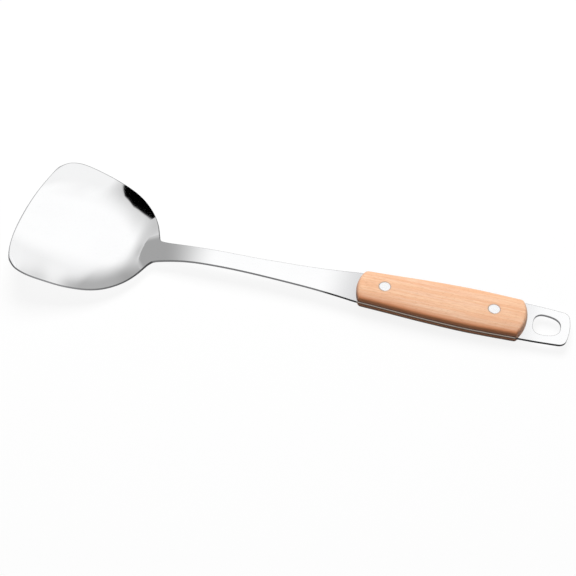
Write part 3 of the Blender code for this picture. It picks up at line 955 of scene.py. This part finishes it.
def make_beech(grain):
    """Steamed beech: pink and orange bands, fine pores along the handle, short flecks, darker ends and a
    greyer ring round each rivet, with painted shade on the near side, darkest where it turns down, and a
    painted light tone on the far side.
    """
    made, tree, shader = new_material("beech", 0)
    place = level_position(tree)
    bands = streaks(tree, grain, place, BEECH_BANDS)
    rings = streaks(tree, grain, place, BEECH_RINGS)
    pores = streaks(tree, grain, place, BEECH_PORES)
    flecks = streaks(tree, grain, place, BEECH_FLECKS)
    colour = blend(tree, bands, ORANGE_BEECH, PINK_BEECH)
    colour = blend(tree, multiply(tree, rings, RING_TINT), colour, RING_BEECH)
    colour = blend(tree, multiply(tree, pores, PORE_TINT), colour, PORE_BEECH)
    colour = blend(tree, multiply(tree, flecks, FLECK_TINT), colour, FLECK_BEECH)

    plan = stretch(tree, place, (1, 1, 0))
    # A greyer ring round each rivet head.
    for rivet in RIVET_PLACES.values():
        away = measure(tree, "DISTANCE", plan, (rivet, 0, 0))
        rivet_ring = ramp(tree, away, HEAD_DIAMETER / 2 + RIVET_RING_REACH, HEAD_DIAMETER / 2, 0, RIVET_RING_TINT)
        colour = blend(tree, rivet_ring, colour, RIVET_RING_BEECH)

    along, across, up = split(tree, add_node(tree, "ShaderNodeTexCoord", {}).outputs["Normal"])
    front_end = ramp(tree, along, *FRONT_END_TURNS, 0, FRONT_END_TINT)
    rear_end = ramp(tree, along, *REAR_END_TURNS, 0, REAR_END_TINT)
    colour = blend(tree, calculate(tree, "ADD", front_end, rear_end), colour, END_BEECH)
    # Painted light: a warmer tone on the far side, which faces the light.
    far_lit = ramp(tree, across, *FAR_LIT_TURNS)
    colour = blend(tree, multiply(tree, far_lit, FAR_LIT_TINT), colour, FAR_LIT_BEECH)
    # Painted shade on the near side, darkest where it turns downward.
    near_shade = ramp(tree, across, *NEAR_SHADE_TURNS)
    colour = blend(tree, near_shade, colour, NEAR_SHADE_BEECH)
    shade_below = multiply(tree, near_shade, ramp(tree, up, *LOWER_SHADE_TURNS))
    colour = blend(tree, multiply(tree, shade_below, LOWER_SHADE_TINT), colour, LOWER_SHADE_BEECH)

    rough = calculate(tree, "MULTIPLY_ADD", pores, BEECH_PORE_ROUGHNESS, BEECH_ROUGHNESS)
    connect(tree, shader, Base_Color=colour, Roughness=rough)
    shader.inputs["Specular IOR Level"].default_value = BEECH_SHINE
    dents = calculate(tree, "ADD", pores, flecks)
    raise_marks(tree, shader, multiply(tree, dents, -1), BEECH_PORE_DEPTH)
    return made


# Studio

def make_camera():
    """The photograph's view, set up over the level tang and laid down with it."""
    data = bpy.data.cameras.new("camera")
    data.lens = CAMERA_LENS
    data.sensor_width = CAMERA_SENSOR
    camera = bpy.data.objects.new("camera", data)
    bpy.context.scene.collection.objects.link(camera)
    side, up = CAMERA_AZIMUTH, CAMERA_ELEVATION
    back = Vector((math.sin(side) * math.cos(up), -math.cos(side) * math.cos(up), math.sin(up)))
    right = Vector((math.cos(side), math.sin(side), 0))
    turn = Matrix((right, back.cross(right), back)).transposed().to_4x4()
    camera.matrix_world = REST @ Matrix.Translation(CAMERA_PLACE) @ turn
    bpy.context.scene.camera = camera


def toward(side, up):
    """The direction at this many degrees clockwise from straight behind the part, and above the floor."""
    side, up = math.radians(side), math.radians(up)
    return Vector((math.sin(side) * math.cos(up), math.cos(side) * math.cos(up), math.sin(up)))


def shown_rays(tree):
    """1 for the camera's own rays and those that metal or glass passes on, and 0 for the light's."""
    path = add_node(tree, "ShaderNodeLightPath", {}).outputs
    mirrored = calculate(tree, "MAXIMUM", path["Is Glossy Ray"], path["Is Transmission Ray"])
    return path["Is Camera Ray"], mirrored


def panel_share(tree, way, edges):
    """How much of a panel lies this way, where its edges overlap."""
    share = 1.0
    for side, up, start_angle, full_angle in edges:
        limits = (math.cos(math.radians(angle)) for angle in (start_angle, full_angle))
        reach = measure(tree, "DOT_PRODUCT", way, toward(side, up))
        share = multiply(tree, share, ramp(tree, reach, *limits))
    return share


def make_world():
    """A white studio. Metal mirrors its grey panels and the dark room behind the camera."""
    world = bpy.data.worlds.new("studio")
    world.use_nodes = True
    bpy.context.scene.world = world
    tree = world.node_tree
    way = add_node(tree, "ShaderNodeTexCoord", {}).outputs["Generated"]
    panels = 1.0
    for level, edges in STUDIO_PANELS:
        panel = calculate(tree, "MULTIPLY_ADD", panel_share(tree, way, edges), level - 1, 1)
        panels = multiply(tree, panels, panel)
    fill_reach = measure(tree, "DOT_PRODUCT", way, toward(*FILL_SIDE))
    fill = ramp(tree, fill_reach, *FILL_SPREAD, *FILL_RANGE)
    camera_ray, mirrored = shown_rays(tree)
    lit = multiply(tree, fill, calculate(tree, "SUBTRACT", 1, mirrored))
    light = calculate(tree, "ADD", lit, multiply(tree, panels, mirrored))
    light = calculate(tree, "MAXIMUM", light, camera_ray)
    background = tree.nodes["Background"]
    background.inputs["Color"].default_value = (1, 1, 1, 1)
    tree.links.new(light, background.inputs["Strength"])


def make_softbox():
    """The one lamp: a large soft box above the part and a little behind it."""
    data = bpy.data.lights.new("softbox", "AREA")
    data.shape = "SQUARE"
    data.size = SOFTBOX_SIZE
    data.energy = SOFTBOX_POWER
    lamp = bpy.data.objects.new("softbox", data)
    bpy.context.scene.collection.objects.link(lamp)
    lamp.location = toward(*SOFTBOX_SIDE) * SOFTBOX_DISTANCE
    lamp.rotation_euler = lamp.location.to_track_quat("Z", "Y").to_euler()
    lamp.visible_glossy = False
    lamp.visible_camera = False


def make_glow(name, grey):
    """A flat white glow of any strength, over a surface of this grey that mirrors nothing."""
    made, tree, shader = new_material(name, 0)
    shader.inputs["Base Color"].default_value = (grey, grey, grey, 1)
    shader.inputs["Roughness"].default_value = 1
    shader.inputs["Specular IOR Level"].default_value = 0
    shader.inputs["Emission Color"].default_value = (1, 1, 1, 1)
    return made, tree, shader


def make_card():
    """A small grey card hung just over the neck, seen only in reflections, that paints the grey reflection
    on the neck and tongue.
    """
    item = start("grey_card", bpy.ops.mesh.primitive_circle_add,
                 vertices=len(CARD_CORNERS), radius=1, fill_type="NGON")
    bm = bmesh.from_edit_mesh(item.data)
    for vert, corner in zip(bm.verts, CARD_CORNERS):
        vert.co.xy = corner
    bmesh.update_edit_mesh(item.data)
    bpy.ops.object.mode_set(mode="OBJECT")
    back = toward(*CARD_SIDE)
    level = math.radians(CARD_SIDE[0])
    right = Vector((math.cos(level), -math.sin(level), 0))
    turn = Matrix((right, right.cross(back), -back)).transposed().to_4x4()
    item.matrix_world = Matrix.Translation(CARD_PLACE) @ turn
    item.visible_camera = False
    item.visible_diffuse = False
    item.visible_transmission = False
    item.visible_volume_scatter = False
    item.visible_shadow = False

    made, tree, shader = make_glow("grey_card", 0)
    place = add_node(tree, "ShaderNodeTexCoord", {}).outputs["Object"]
    light = CARD_GREY
    for degrees, run_start, run_end, grey in CARD_RUNS:
        angle = math.radians(degrees)
        along = measure(tree, "DOT_PRODUCT", place, (math.cos(angle), math.sin(angle), 0))
        light = calculate(tree, "MAXIMUM", light, ramp(tree, along, run_start, run_end, CARD_GREY, grey))
    connect(tree, shader, Emission_Strength=light)
    item.data.materials.append(made)


def make_floor():
    """A pale floor that shows white, keeps the part's shadow and throws little light back up."""
    deselect()
    bpy.ops.mesh.primitive_plane_add(size=FLOOR_SIZE)
    floor = bpy.context.object
    floor.name = "floor"
    made, tree, shader = make_glow("floor", FLOOR_GREY)
    shown = calculate(tree, "MAXIMUM", *shown_rays(tree))
    connect(tree, shader, Emission_Strength=multiply(tree, shown, 1 - FLOOR_GREY))
    floor.data.materials.append(made)


def main():
    bpy.context.scene.view_settings.view_transform = "Standard"
    grain = make_grain()
    polished = make_polished_steel(grain)
    edge = make_edge_steel(grain)
    beech = make_beech(grain)
    rivet_steel = make_rivet_steel(grain)
    rows, crease = sheet_rows()
    lay_down(make_sheet(rows, crease, polished, edge), "blade_and_tang")
    lay_down(make_scale("upper_beech", 1, rows, beech), "upper_scale")
    lay_down(make_scale("lower_beech", -1, rows, beech), "lower_scale")
    for name, place in RIVET_PLACES.items():
        lay_down(make_post(name + "_head", place, rivet_steel), name + "_post")
        lay_down(make_socket(name + "_barrel", place, rivet_steel), name + "_socket")
    make_floor()
    make_card()
    make_softbox()
    make_world()
    make_camera()


main()
